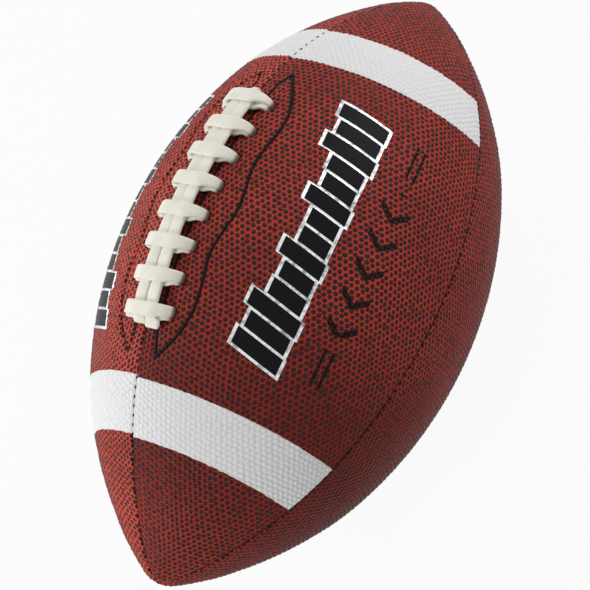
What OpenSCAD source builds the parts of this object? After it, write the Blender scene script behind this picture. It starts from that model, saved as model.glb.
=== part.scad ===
// American football with a sewn four-panel cover, lying on its side with the laces on top.
// X runs from tip to tip, Z points up through the laces, and the origin is the middle of the ball.

/* [Ball] */
// Length from tip to tip
ball_length = 275; // [250:1:295]
// Diameter across the middle
ball_diameter = 153; // [142:1:168]
// Radius of the long arc that shapes the middle of each side
belly_radius = 178; // [165:1:200]
// Half of the length that the long arc covers
belly_half = 69; // [66:1:76]
// Radius of each rounded tip
tip_radius = 13; // [11:0.5:18]

/* [Cover] */
// Thickness of the pebbled cover material
cover_t = 2; // [1.6:0.1:2.4]
// Width of the edge that is turned in and sewn along each seam
seam_allowance = 6; // [4:0.5:8]
// Space between the edges of two neighbouring panels
seam_gap = 0.3; // [0.2:0.05:0.6]
// Depth of the furrow that shows along each seam
groove_depth = 0.85; // [0.5:0.05:1.2]
// Width of the furrow that shows along each seam
groove_w = 2.4; // [1.6:0.1:3.4]
// Diameter of the seam thread
thread_d = 1; // [0.6:0.1:1.2]
// Depth of the seam thread below the surface
stitch_depth = 2; // [1.8:0.1:2.6]
// Thickness of the laminated cloth lining
lining_t = 1.7; // [1:0.1:1.9]

/* [Stripes] */
// Distance from the middle of the ball to the near edge of each stripe
stripe_from = 73.5; // [70:0.5:80]
// Width of each stripe along the ball
stripe_w = 20.7; // [15:0.1:26]
// Thickness of the stripe film
stripe_t = 0.4; // [0.2:0.05:0.6]

/* [Lacing] */
// Number of crossbars
bar_count = 8; // [6:1:8]
// Distance from one crossbar to the next
bar_pitch = 13.4; // [11:0.1:14]
// Shift of the lacing along the ball from its middle
lacing_shift = -2.2; // [-4:0.1:4]
// Distance from the middle of the lacing to each row of lace holes
hole_offset = 13.5; // [11.5:0.5:15]
// Width of the lace
lace_w = 6.5; // [5:0.1:7.5]
// Thickness of the lace
lace_t = 1.7; // [1.2:0.1:2]
// Height of the two strands that lie along the opening
spine_h = 3.6; // [3:0.1:4.5]
// Width of the opening that the lace closes
slot_w = 1.2; // [0.6:0.1:2]
// Width of the leaf of stitching around each row of lace holes
leaf_w = 15.8; // [14:0.1:18]
// Thickness of the facing
facing_t = 1.2; // [0.8:0.1:1.6]
// Thickness of the pad between the lace and the bladder
pad_t = 1.2; // [0.8:0.1:2]

/* [Bladder] */
// Thickness of the bladder's wall
bladder_wall = 0.9; // [0.6:0.1:1.5]
// Radius of the passage for the inflating needle
needle_r = 1; // [0.9:0.05:1.2]
// Radius of the rubber plug in the valve
plug_r = 3.4; // [2.8:0.1:4]
// Length of the rubber plug
plug_length = 17; // [14:0.5:20]

/* [Hidden] */
$fn = 96;

// Clearances and overruns
glue_gap = 0.1;
soft_gap = 0.3;
cut_over = 1;

// Side view of one half: belly arc, shoulder arc and tip arc, each tangent to the next.
// Points are written as [distance from the long axis, distance along it].
half_length = ball_length / 2;
ball_r = ball_diameter / 2;
reach = 2 * ball_length;
belly_angle = asin(belly_half / belly_radius);
belly_normal = [cos(belly_angle), sin(belly_angle)];
belly_centre = [ball_r - belly_radius, 0];
belly_end = belly_centre + belly_radius * belly_normal;
tip_centre = [0, half_length - tip_radius];
to_tip = tip_centre - belly_end;
shoulder_radius = (tip_radius * tip_radius - to_tip * to_tip) / (2 * (to_tip * belly_normal + tip_radius));
shoulder_centre = belly_end - shoulder_radius * belly_normal;
shoulder_line = tip_centre - shoulder_centre;
shoulder_angle = atan2(shoulder_line[1], shoulder_line[0]);

// Far ends of the two lines on which the arcs meet
belly_edge = belly_centre + reach * belly_normal;
shoulder_edge = tip_centre + reach * [cos(shoulder_angle), sin(shoulder_angle)];

// Layers, as depths below the surface
fold_depth = 2 * cover_t;
lining_depth = cover_t + glue_gap;
facing_depth = fold_depth + glue_gap;
run_depth = facing_depth + facing_t + soft_gap;
bladder_depth = fold_depth + soft_gap;

// Lacing
lacing_half = (bar_count - 1) * bar_pitch / 2;
hump_rise = spine_h + hole_offset * hole_offset / (2 * ball_r);
hump_radius = (hole_offset * hole_offset + hump_rise * hump_rise) / (2 * hump_rise);
hump_angle = asin(hole_offset / (hump_radius + lace_t / 2));
strand_gap = 0.3;
strand_tail = 5.5;
short_tail = 3;
hole_clearance = 0.35;
run_drop = hole_offset * hole_offset / (2 * (ball_r - run_depth));
run_level = run_depth + run_drop + lace_t / 2;
pad_depth = run_level + lace_t / 2 + soft_gap;
pad_margin = 3.7;
pad_half_w = hole_offset + pad_margin;
pad_half_length = lacing_half + lace_w + pad_margin;
bladder_drop = (pad_depth + pad_t + soft_gap - bladder_depth) / 2;

// Leaf of stitching, with three lobes along its outer edge
leaf_inset = 7.2;
leaf_overhang = 18;
leaf_half_length = lacing_half + leaf_overhang;
leaf_joint_shares = [-0.983, -0.351, 0.311, 1.035];
leaf_peak_shares = [-0.62, -0.005, 0.62];
leaf_joint_rise_shares = [0, 0.76, 0.82, 0];
leaf_peak_rise_shares = [0.85, 1, 0.89];
leaf_end_signs = [-1, 0, 0, 1];
leaf_tip_share = 4;
lobe_steps = 9;
facing_margin = 2.5;
stitch_w = 0.9;
stitch_h = 0.5;
thread_clearance = 0.1;

// Valve
seat_wall = 1.6;
seat_flange_r = 11;
seat_flange_t = 1.2;
plug_depth = 0.3;
bead_h = 0.6;
bead_length = 2.5;
bead_depth = 9;
mouth_r = 1.9;
mouth_depth = 1.2;

// Disc that is kept only inside a polygon
module disc_part(centre, radius, points) {
    intersection() {
        translate(centre) circle(r = radius, $fn = 360);
        polygon(points);
    }
}

// Half section of the ball at a depth below its surface
module ball_profile(depth) {
    intersection() {
        translate([0, -half_length]) square([ball_r, ball_length]);
        union() {
            disc_part(belly_centre, belly_radius - depth, [
                belly_centre, belly_edge, [belly_edge[0], -belly_edge[1]]
            ]);
            for (side = [0, 1]) mirror([0, side]) {
                disc_part(shoulder_centre, shoulder_radius - depth, [
                    belly_centre, belly_edge, shoulder_edge, tip_centre
                ]);
                disc_part(tip_centre, tip_radius - depth, [tip_centre, shoulder_edge, [0, reach]]);
            }
        }
    }
}

// Layer of the ball between two depths, turned through one angle about the long axis.
// The turn starts at the bottom seam and passes the left, top and right seams.
module ball_layer(outer, inner, start = 0, turn = 360) {
    rotate([0, 90, 0])
        rotate_extrude(angle = turn, start = start)
            difference() {
                ball_profile(outer);
                ball_profile(inner);
            }
}

// Space of the panel between the top and right seams, kept clear of both by an inset
module quarter(inset) {
    translate([-ball_length / 2 - cut_over, -reach, inset])
        cube([ball_length + 2 * cut_over, reach - inset, reach]);
}

// Sweeps a section along the top of the belly between two distances measured along its arc.
// Section: x outward from the surface, y across.
module along_belly(from_length, to_length) {
    turn = (to_length - from_length) / belly_radius * 180 / PI;
    translate([belly_centre[1], 0, belly_centre[0]])
        rotate([90, 0, 0])
            rotate_extrude(angle = turn, start = 90 - to_length / belly_radius * 180 / PI)
                translate([belly_radius, 0]) children();
}

// Moves a shape from the origin to a place on the top of the belly
module on_belly(length) {
    translate([0, 0, belly_centre[0]])
        rotate([0, length / belly_radius * 180 / PI, 0])
            translate([0, 0, belly_radius]) children();
}

// Rim of the same panel between two depths, taken off where it lies closer to a seam than the inset
module seam_rim(outer, inner, inset) {
    difference() {
        ball_layer(outer, inner, 180, 90);
        quarter(inset);
    }
}

// Point on the curve that passes three points, at a share of the way from the first to the last
function curve_point(a, peak, b, share) =
    (1 - share) * (1 - 2 * share) * a + 4 * share * (1 - share) * peak + share * (2 * share - 1) * b;

// Outline of the leaf on the left side, grown by a margin. Its long side follows the opening.
module leaf_outline(grow) {
    joints = [for (i = [0 : 3]) [
        lacing_shift + leaf_joint_shares[i] * leaf_half_length + leaf_end_signs[i] * leaf_tip_share * grow,
        leaf_inset + leaf_joint_rise_shares[i] * leaf_w + (leaf_end_signs[i] == 0 ? grow : -grow)
    ]];
    peaks = [for (i = [0 : 2]) [
        lacing_shift + leaf_peak_shares[i] * leaf_half_length,
        leaf_inset + leaf_peak_rise_shares[i] * leaf_w + grow
    ]];
    polygon([
        for (i = [0 : 2], k = [0 : lobe_steps - 1]) curve_point(joints[i], peaks[i], joints[i + 1], k / lobe_steps),
        joints[3]
    ]);
}

// One lace hole: a slot with round ends, long enough for the flat lace
module lace_hole() {
    hole_w = lace_t + 2 * hole_clearance;
    for (end = [-1, 1])
        translate([end * lace_w / 2, 0, -run_level])
            cylinder(d = hole_w, h = run_level + cut_over, $fn = 32);
    translate([-lace_w / 2, -hole_w / 2, -run_level]) cube([lace_w, hole_w, run_level + cut_over]);
}

module lace_holes() {
    for (i = [0 : bar_count - 1], side = [-1, 1])
        on_belly(lacing_shift - lacing_half + i * bar_pitch)
            translate([0, side * hole_offset, 0]) lace_hole();
}

// Opening between the lace panels, which the lace closes
module lacing_slot() {
    along_belly(lacing_shift - lacing_half - lace_w, lacing_shift + lacing_half + lace_w)
        translate([-fold_depth - cut_over, -slot_w / 2]) square([fold_depth + 2 * cut_over, slot_w]);
}

// Shallow recess for the two stripe films of one lace panel
module stripe_recess(start) {
    intersection() {
        ball_layer(-cut_over, stripe_t, start, 90);
        for (end = [-1, 1])
            translate([end * (stripe_from + stripe_w / 2), 0, 0])
                cube([stripe_w, 2 * ball_diameter, 2 * ball_diameter], center = true);
    }
}

// Moves a shape from the Z axis to the valve, in the middle of the lower left panel
module at_valve() {
    rotate([-135, 0, 0]) translate([0, 0, ball_r]) children();
}

// Cover panel between the top and right seams, with its edges folded in along both
module plain_panel() {
    thread_reach = thread_d / 2 + thread_clearance;
    difference() {
        intersection() {
            ball_layer(0, fold_depth, 180, 90);
            quarter(seam_gap / 2);
        }
        intersection() {
            ball_layer(cover_t, fold_depth + cut_over, 180, 90);
            quarter(seam_allowance);
        }
        seam_rim(-cut_over, groove_depth, groove_w / 2);
        seam_rim(stitch_depth - thread_reach, stitch_depth + thread_reach, thread_reach);
    }
}

// Cover panel beside the laces: lace holes, half the opening and a recess for the stripe films
module lace_panel(side) {
    color("firebrick")
        difference() {
            rotate([side > 0 ? 270 : 0, 0, 0]) plain_panel();
            lacing_slot();
            lace_holes();
            stripe_recess(side > 0 ? 90 : 180);
        }
}

module panel_lace_right() {
    lace_panel(-1);
}

module panel_lace_left() {
    lace_panel(1);
}

module panel_back_right() {
    color("firebrick") rotate([90, 0, 0]) plain_panel();
}

module panel_back_left() {
    color("firebrick")
        difference() {
            rotate([180, 0, 0]) plain_panel();
            at_valve() translate([0, 0, -fold_depth]) cylinder(r = plug_r + glue_gap, h = 2 * fold_depth);
        }
}

// Cloth lining glued inside one panel, between its folded edges
module plain_lining() {
    intersection() {
        ball_layer(lining_depth, lining_depth + lining_t, 180, 90);
        quarter(seam_allowance + glue_gap);
    }
}

module lace_lining(side) {
    color("ivory")
        difference() {
            rotate([side > 0 ? 270 : 0, 0, 0]) plain_lining();
            lace_holes();
        }
}

module lining_lace_right() {
    lace_lining(-1);
}

module lining_lace_left() {
    lace_lining(1);
}

module lining_back_right() {
    color("ivory") rotate([90, 0, 0]) plain_lining();
}

module lining_back_left() {
    color("ivory")
        difference() {
            rotate([180, 0, 0]) plain_lining();
            at_valve() translate([0, 0, -2 * fold_depth]) cylinder(r = plug_r + seat_wall + glue_gap, h = 2 * fold_depth);
        }
}

// Reinforcing leaf sewn behind one row of lace holes
module facing(side) {
    color("tan")
        difference() {
            intersection() {
                ball_layer(facing_depth, facing_depth + facing_t, side > 0 ? 90 : 180, 90);
                linear_extrude(height = ball_r) scale([1, side]) leaf_outline(facing_margin);
            }
            lace_holes();
        }
}

module facing_right() {
    facing(-1);
}

module facing_left() {
    facing(1);
}

// Thread of the stitching that holds the facing, laid on the cover along the leaf's outline
module facing_stitch(side) {
    color("black")
        intersection() {
            ball_layer(-glue_gap - stitch_h, -glue_gap, side > 0 ? 90 : 180, 90);
            linear_extrude(height = ball_diameter)
                scale([1, side])
                    difference() {
                        leaf_outline(0);
                        leaf_outline(-stitch_w);
                    }
        }
}

module facing_stitch_right() {
    facing_stitch(-1);
}

module facing_stitch_left() {
    facing_stitch(1);
}

// Thin pad that keeps the lace off the bladder
module lace_pad() {
    color("dimgray")
        along_belly(lacing_shift - pad_half_length, lacing_shift + pad_half_length)
            translate([-pad_depth - pad_t, -pad_half_w]) square([pad_t, 2 * pad_half_w]);
}

// Side view of one crossbar: over the two strands and down through a hole on each side
module bar_section() {
    translate([0, spine_h - hump_radius])
        difference() {
            disc_part([0, 0], hump_radius + lace_t, [
                [0, 0],
                2 * hump_radius * [sin(hump_angle), cos(hump_angle)],
                2 * hump_radius * [-sin(hump_angle), cos(hump_angle)]
            ]);
            circle(r = hump_radius, $fn = 180);
        }
    for (side = [-1, 1]) {
        joint_z = spine_h - hump_radius + (hump_radius + lace_t / 2) * cos(hump_angle);
        translate([side * hole_offset, joint_z]) circle(d = lace_t, $fn = 48);
        translate([side * hole_offset - lace_t / 2, -run_level]) square([lace_t, run_level + joint_z]);
    }
}

// Run of the lace inside the ball, from one crossbar to the next
module inner_run() {
    turn = atan2(bar_pitch, 2 * hole_offset);
    run_length = norm([bar_pitch, 2 * hole_offset]) + lace_t;
    translate([0, 0, -run_level])
        rotate([0, 0, turn])
            cube([lace_w, run_length, lace_t], center = true);
}

module lace_crossbars() {
    color("floralwhite") {
        for (i = [0 : bar_count - 1])
            on_belly(lacing_shift - lacing_half + i * bar_pitch)
                rotate([90, 0, 90])
                    linear_extrude(height = lace_w, center = true) bar_section();
        for (i = [0 : bar_count - 2])
            on_belly(lacing_shift - lacing_half + (i + 0.5) * bar_pitch) inner_run();
    }
}

// Section of one strand: flat below, and crowned to the curve of the crossbars above
module strand_section(side) {
    intersection() {
        translate([spine_h - hump_radius, 0]) circle(r = hump_radius - glue_gap, $fn = 180);
        translate([glue_gap, side > 0 ? strand_gap / 2 : -strand_gap / 2 - lace_w])
            square([spine_h, lace_w]);
    }
}

module lace_spine() {
    color("floralwhite")
        for (side = [-1, 1])
            along_belly(
                lacing_shift - lacing_half - lace_w / 2 - (side > 0 ? short_tail : strand_tail),
                lacing_shift + lacing_half + lace_w / 2 + short_tail)
                strand_section(side);
}

// Film of the stripe on one lace panel, at the front or rear end, clear of the furrows
module stripe(end, side) {
    color("white")
        intersection() {
            ball_layer(0, stripe_t - glue_gap, side > 0 ? 90 : 180, 90);
            rotate([side > 0 ? 270 : 0, 0, 0]) quarter(groove_w / 2 + glue_gap);
            translate([end * (stripe_from + stripe_w / 2), 0, 0])
                cube([stripe_w - 2 * glue_gap, 2 * ball_diameter, 2 * ball_diameter], center = true);
        }
}

module stripe_front_right() {
    stripe(1, -1);
}

module stripe_front_left() {
    stripe(1, 1);
}

module stripe_rear_right() {
    stripe(-1, -1);
}

module stripe_rear_left() {
    stripe(-1, 1);
}

// Thread that joins two panels under the furrow of the top seam
module seam_thread() {
    color("black")
        intersection() {
            ball_layer(stitch_depth - thread_d / 2, stitch_depth + thread_d / 2, 135, 90);
            translate([-half_length, -thread_d / 2, thread_d])
                cube([ball_length, thread_d, ball_r]);
        }
}

module seam_thread_top() {
    difference() {
        seam_thread();
        along_belly(lacing_shift - lacing_half - lace_w, lacing_shift + lacing_half + lace_w)
            translate([-fold_depth, -slot_w]) square([fold_depth, 2 * slot_w]);
    }
}

module seam_thread_right() {
    rotate([90, 0, 0]) seam_thread();
}

module seam_thread_bottom() {
    rotate([180, 0, 0]) seam_thread();
}

module seam_thread_left() {
    rotate([270, 0, 0]) seam_thread();
}

// Shell of the bladder between two depths in its own wall. It rests on the bottom of the cover,
// which leaves room at the top for the lace and its pad.
module bladder_layer(outer, inner) {
    translate([0, 0, -bladder_drop])
        ball_layer(bladder_depth + bladder_drop + outer, bladder_depth + bladder_drop + inner);
}

module bladder() {
    color("black")
        difference() {
            bladder_layer(0, bladder_wall);
            at_valve() translate([0, 0, -plug_length]) cylinder(r = plug_r + seat_wall + glue_gap, h = plug_length);
        }
}

// Side view of the plug or of the hole that holds it, with its retaining bead
module plug_outline(grow) {
    polygon([
        [0, -plug_depth - plug_length - grow],
        [plug_r + grow, -plug_depth - plug_length - grow],
        [plug_r + grow, -bead_depth - bead_length - bead_h],
        [plug_r + grow + bead_h, -bead_depth - bead_length],
        [plug_r + grow + bead_h, -bead_depth],
        [plug_r + grow, -bead_depth + bead_h],
        [plug_r + grow, -plug_depth + grow],
        [0, -plug_depth + grow]
    ]);
}

module valve_seat() {
    seat_r = plug_r + seat_wall;
    seat_bottom = bead_depth + bead_length + 2 * seat_wall;
    color("darkslategray")
        difference() {
            union() {
                intersection() {
                    bladder_layer(bladder_wall + glue_gap, bladder_wall + seat_flange_t);
                    at_valve() translate([0, 0, -ball_r]) cylinder(r = seat_flange_r, h = ball_r);
                }
                at_valve() translate([0, 0, -seat_bottom]) cylinder(r = seat_r, h = seat_bottom - lining_depth - glue_gap);
            }
            at_valve() rotate_extrude() plug_outline(glue_gap);
        }
}

module valve_plug() {
    color("black")
        at_valve()
            rotate_extrude()
                difference() {
                    plug_outline(0);
                    translate([0, -2 * plug_length]) square([needle_r, 2 * plug_length]);
                    polygon([
                        [0, cut_over], [mouth_r, cut_over], [mouth_r, -plug_depth],
                        [needle_r, -plug_depth - mouth_depth], [0, -plug_depth - mouth_depth]
                    ]);
                }
}

panel_lace_right();
panel_lace_left();
panel_back_right();
panel_back_left();
lining_lace_right();
lining_lace_left();
lining_back_right();
lining_back_left();
facing_right();
facing_left();
lace_pad();
lace_crossbars();
lace_spine();
stripe_front_right();
stripe_front_left();
stripe_rear_right();
stripe_rear_left();
facing_stitch_right();
facing_stitch_left();
seam_thread_top();
seam_thread_right();
seam_thread_bottom();
seam_thread_left();
bladder();
valve_seat();
valve_plug();
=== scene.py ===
# %% [markdown]
# # A laced football with a pebbled cover
#
# An American football is four leather-like panels sewn edge to edge around an air bladder. The
# real one shows thousands of small grains with near-black tops, a white stripe near each tip, a
# leaf of black stitching beside each row of lace holes, and a cream lace. This script dresses
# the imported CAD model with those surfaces. First it loads that model as the frame.

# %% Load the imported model
import math

import bpy
import numpy as np
from mathutils import Matrix, Vector


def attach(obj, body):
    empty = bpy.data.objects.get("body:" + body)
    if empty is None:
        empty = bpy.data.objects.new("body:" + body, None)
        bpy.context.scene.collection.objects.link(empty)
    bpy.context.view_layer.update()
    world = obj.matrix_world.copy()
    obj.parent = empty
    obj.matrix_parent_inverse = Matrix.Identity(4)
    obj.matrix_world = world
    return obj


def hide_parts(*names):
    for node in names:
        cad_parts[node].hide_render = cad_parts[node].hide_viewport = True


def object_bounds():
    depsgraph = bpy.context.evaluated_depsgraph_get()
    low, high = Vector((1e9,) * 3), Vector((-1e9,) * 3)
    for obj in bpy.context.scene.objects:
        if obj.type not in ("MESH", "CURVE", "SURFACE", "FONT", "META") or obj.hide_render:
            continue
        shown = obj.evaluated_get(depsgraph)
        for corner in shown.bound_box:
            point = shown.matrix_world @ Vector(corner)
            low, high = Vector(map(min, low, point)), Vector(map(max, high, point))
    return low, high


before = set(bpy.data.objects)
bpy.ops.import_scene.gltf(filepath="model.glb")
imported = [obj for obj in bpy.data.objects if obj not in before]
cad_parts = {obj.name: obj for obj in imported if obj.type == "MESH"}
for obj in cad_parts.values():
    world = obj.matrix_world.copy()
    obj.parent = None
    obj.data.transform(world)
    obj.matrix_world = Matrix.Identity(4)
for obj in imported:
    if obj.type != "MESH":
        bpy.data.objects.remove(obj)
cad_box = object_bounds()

MM = 0.001
print("CAD box, mm:", [[round(value / MM, 1) for value in corner] for corner in cad_box])

# %% [markdown]
# ## The camera and the studio
#
# The photograph is taken from above with a long lens, and the ball's axis runs up to the right.
# The camera's place and lens were found by fitting the outline and the seams in perspective.
# It is easiest to check when it is written as a place, a direction to the middle of the ball,
# and the angle at which the ball's long axis leans in the picture.

# %% Camera
CAMERA_AT = Vector((-0.2642, -0.6581, 0.6808))
AXIS_LEAN = math.radians(64.81)
LENS_MM, SENSOR_MM, PICTURE_PX = 144.3, 36, 590
FOCAL_PX = LENS_MM / SENSOR_MM * PICTURE_PX
CENTRE_OFF_PX = (3.4, 10.8)


def aim_camera():
    to_ball = -CAMERA_AT.normalized()
    along = Vector((1, 0, 0)) - to_ball.x * to_ball
    along.normalize()
    across = to_ball.cross(along)
    right = math.cos(AXIS_LEAN) * along + math.sin(AXIS_LEAN) * across
    up = math.sin(AXIS_LEAN) * along - math.cos(AXIS_LEAN) * across
    turn = Matrix((right, up, -to_ball)).transposed()
    seen_at = Vector((CENTRE_OFF_PX[0], CENTRE_OFF_PX[1], -FOCAL_PX)).normalized()
    nudge = Vector((0, 0, -1)).rotation_difference(seen_at).to_matrix()
    camera = bpy.data.objects.new("camera", bpy.data.cameras.new("camera"))
    camera.data.sensor_width = SENSOR_MM
    camera.data.lens = LENS_MM
    camera.matrix_world = Matrix.Translation(CAMERA_AT) @ (turn @ nudge.inverted()).to_4x4()
    bpy.context.scene.collection.objects.link(camera)
    bpy.context.scene.camera = camera


aim_camera()
print("camera", round(CAMERA_AT.length, 3), "m from the middle of the ball")

# %% [markdown]
# ## Shader maths in plain Python
#
# A finish is a short sum over noise, masks and colours. Written as Python expressions it reads
# like one: a small class holds a socket, and +, -, *, % and abs() add the Math nodes behind it.
# A mask comes from between(), a smooth step from 0 to 1, and mix() blends two colours by it.

# %% The socket class
class Wire:
    """A socket that takes part in Python expressions."""

    def __init__(self, tree, socket=None):
        self.tree = tree
        self.socket = socket

    def node(self, kind, settings=None, inputs=None, output=0):
        """A new node with its settings, and its inputs set or linked. Gives one of its outputs."""
        made = self.tree.nodes.new(kind)
        for name, value in (settings or {}).items():
            setattr(made, name, value)
        for name, value in (inputs or {}).items():
            self.set(made.inputs[name], value)
        return Wire(self.tree, made.outputs[output])

    def set(self, socket, value):
        if isinstance(value, Wire):
            self.tree.links.new(value.socket, socket)
        else:
            socket.default_value = value

    def math(self, operation, *others):
        inputs = dict(enumerate((self, *others)))
        return self.node("ShaderNodeMath", {"operation": operation}, inputs)

    def __add__(self, other):
        return self.math("ADD", other)

    def __sub__(self, other):
        return self.math("SUBTRACT", other)

    def __mul__(self, other):
        return self.math("MULTIPLY", other)

    def __rsub__(self, other):
        return self.node("ShaderNodeMath", {"operation": "SUBTRACT"}, {0: other, 1: self})

    def __mod__(self, other):
        return self.math("FLOORED_MODULO", other)

    def __abs__(self):
        return self.math("ABSOLUTE")

    __radd__ = __add__
    __rmul__ = __mul__

    def between(self, low, high):
        """A smooth step that is 0 at low and 1 at high."""
        return self.node(
            "ShaderNodeMapRange",
            {"interpolation_type": "SMOOTHSTEP"},
            {"Value": self, "From Min": low, "From Max": high},
        )

    def mix(self, first, second):
        """The first colour where this mask is 0, and the second where it is 1."""
        colours = {0: self, 6: first, 7: second}
        return self.node("ShaderNodeMix", {"data_type": "RGBA"}, colours, output=2)


def rgb(red, green, blue):
    return (red, green, blue, 1.0)


# %% Materials start from one Principled shader
def new_material(name):
    material = bpy.data.materials.new(name)
    material.use_nodes = True
    tree = material.node_tree
    shader = tree.nodes["Principled BSDF"]
    start = Wire(tree)
    place = start.node("ShaderNodeTexCoord", output="Object")
    return material, start, shader, place


def feed(start, shader, **values):
    for name, value in values.items():
        start.set(shader.inputs[name.replace("_", " ")], value)


def attribute(start, name):
    return start.node("ShaderNodeAttribute", {"attribute_name": name}, output="Fac")


def noise(start, place, scale, detail=2.0, roughness=0.5):
    return start.node(
        "ShaderNodeTexNoise",
        inputs={"Vector": place, "Scale": scale, "Detail": detail, "Roughness": roughness},
        output="Fac",
    )


def bump(start, height, strength, distance):
    return start.node(
        "ShaderNodeBump", inputs={"Height": height, "Strength": strength, "Distance": distance}
    )


# %% [markdown]
# ## The shape of the ball
#
# Seen from the side, the ball is three arcs that run into each other: a long one over the
# belly, a tighter one over the shoulder and a small one round the tip. A stretched sphere would
# miss that outline. Every surface below is placed by a distance along the side view and an angle
# round the long axis, so one function puts panels, stitches and lace on the same ball as the CAD.

# %% Side view of the ball, in millimetres
BALL_LENGTH, BALL_DIAMETER = 275.0, 153.0
BELLY_RADIUS, BELLY_HALF, TIP_RADIUS = 178.0, 69.0, 13.0
BALL_R = BALL_DIAMETER / 2
BELLY_ANGLE = math.asin(BELLY_HALF / BELLY_RADIUS)
BELLY_CENTRE = np.array([BALL_R - BELLY_RADIUS, 0.0])
BELLY_NORMAL = np.array([math.cos(BELLY_ANGLE), math.sin(BELLY_ANGLE)])
BELLY_END = BELLY_CENTRE + BELLY_RADIUS * BELLY_NORMAL
TIP_CENTRE = np.array([0.0, BALL_LENGTH / 2 - TIP_RADIUS])
TO_TIP = TIP_CENTRE - BELLY_END
SHOULDER_RADIUS = (TIP_RADIUS ** 2 - TO_TIP @ TO_TIP) / (2 * (TO_TIP @ BELLY_NORMAL + TIP_RADIUS))
SHOULDER_CENTRE = BELLY_END - SHOULDER_RADIUS * BELLY_NORMAL
SHOULDER_ANGLE = math.atan2(*(TIP_CENTRE - SHOULDER_CENTRE)[::-1])
ARC_ENDS = np.cumsum([
    0,
    BELLY_RADIUS * BELLY_ANGLE,
    SHOULDER_RADIUS * (SHOULDER_ANGLE - BELLY_ANGLE),
    TIP_RADIUS * (math.pi / 2 - SHOULDER_ANGLE),
])
ARC_ANGLES = [0, BELLY_ANGLE, SHOULDER_ANGLE, math.pi / 2]


def side_view(along):
    """Distance from the long axis, distance along it and the normal's lean, at an arc length."""
    reach = np.abs(along)
    lean = np.interp(reach, ARC_ENDS, ARC_ANGLES)
    part = np.clip(np.searchsorted(ARC_ENDS[1:3], reach), 0, 2)
    radius = np.array([BELLY_RADIUS, SHOULDER_RADIUS, TIP_RADIUS])[part]
    centre = np.array([BELLY_CENTRE, SHOULDER_CENTRE, TIP_CENTRE])[part]
    out = centre[..., 0] + radius * np.cos(lean)
    ahead = centre[..., 1] + radius * np.sin(lean)
    return out, np.sign(along) * ahead, np.sign(along) * lean


def on_ball(along, turn, lift=0.0):
    """Points at arc length along and angle turn: 0 on top, positive to the right. Lift is outward."""
    out, ahead, lean = side_view(along)
    out = out + lift * np.cos(lean)
    ahead = ahead + lift * np.sin(lean)
    return np.stack([ahead, -out * np.sin(turn), out * np.cos(turn)], axis=-1)


print("half of the side view is", round(float(ARC_ENDS[-1]), 1), "mm long")

# %% [markdown]
# ## One net of triangles for every panel
#
# Each panel is a quarter of the ball, widest at the belly and pointed at the tips. A grid with
# the same number of columns everywhere would crowd the tips and starve the belly, so the net is
# laid in rows of near-equal triangles and neighbouring rows are zipped together. All four
# panels share it. Five triangles across a grain are enough to round it, and each panel is kept
# as a rear and a front half, because one mesh of that many triangles would be thinned on export.

# %% Rows of near-equal triangles
NET_STEP, SEAM_HALF_GAP, TIP_GAP = 0.48, 0.05, 1.0


def panel_net():
    """Arc length and share of the panel's width at each point, triangles, and both rims."""
    end = ARC_ENDS[-1] - TIP_GAP
    row_count = int(round(2 * end / (NET_STEP * math.sqrt(3) / 2)))
    along, share, starts = [], [], []
    for row, place in enumerate(np.linspace(-end, end, row_count)):
        width = side_view(np.array(place))[0] * math.pi / 2 - 2 * SEAM_HALF_GAP
        columns = max(3, int(round(width / NET_STEP)))
        if row % 2:
            inner = (np.arange(columns) + 0.5) / columns
            places = np.concatenate([[0], inner, [1]])
        else:
            places = np.arange(columns + 1) / columns
        starts.append(len(along))
        along.extend([place] * len(places))
        share.extend(places * 2 - 1)
    starts.append(len(along))
    along, share = np.array(along), np.array(share)
    triangles, halfway = [], 0
    for row in range(row_count - 1):
        if row == row_count // 2:
            halfway = len(triangles)
        a, a_end = starts[row], starts[row + 1] - 1
        b, b_end = starts[row + 1], starts[row + 2] - 1
        while a < a_end or b < b_end:
            if b == b_end or (a < a_end and share[a + 1] <= share[b + 1]):
                triangles.append((a, b, a + 1))
                a += 1
            else:
                triangles.append((a, b, b + 1))
                b += 1
    rims = [np.array(starts[:-1]), np.array(starts[1:]) - 1]
    return along, share, np.array(triangles), halfway, rims


NET_ALONG, NET_SHARE, NET_TRIANGLES, NET_HALFWAY, NET_RIMS = panel_net()
print("net:", len(NET_ALONG), "points,", len(NET_TRIANGLES), "triangles")

# %% [markdown]
# ## Grains
#
# The grain is embossed in a flat sheet before the panels are cut, so it is laid out on the
# flattened panel: a honeycomb whose centres are pushed about at random and whose rows wander.
# A cell texture could draw it too, but only as bump, and with cells of many sizes. For every
# point of the net two measures matter: how far the nearest grain's centre is, and how far the
# border to the next grain is. The first shapes the inked top, the second the valley.

# %% Grain field on the flattened panel
GRAIN_PITCH = 2.45


def flattened(along, across):
    """The panel rolled out flat, as a cone at each row would be."""
    out, _, lean = side_view(along)
    slope = -np.sin(lean)
    slope = np.where(np.abs(slope) < 1e-4, 1e-4, slope)
    angle = across / out * slope
    return along - out * (1 - np.cos(angle)) / slope, out * np.sin(angle) / slope


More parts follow.
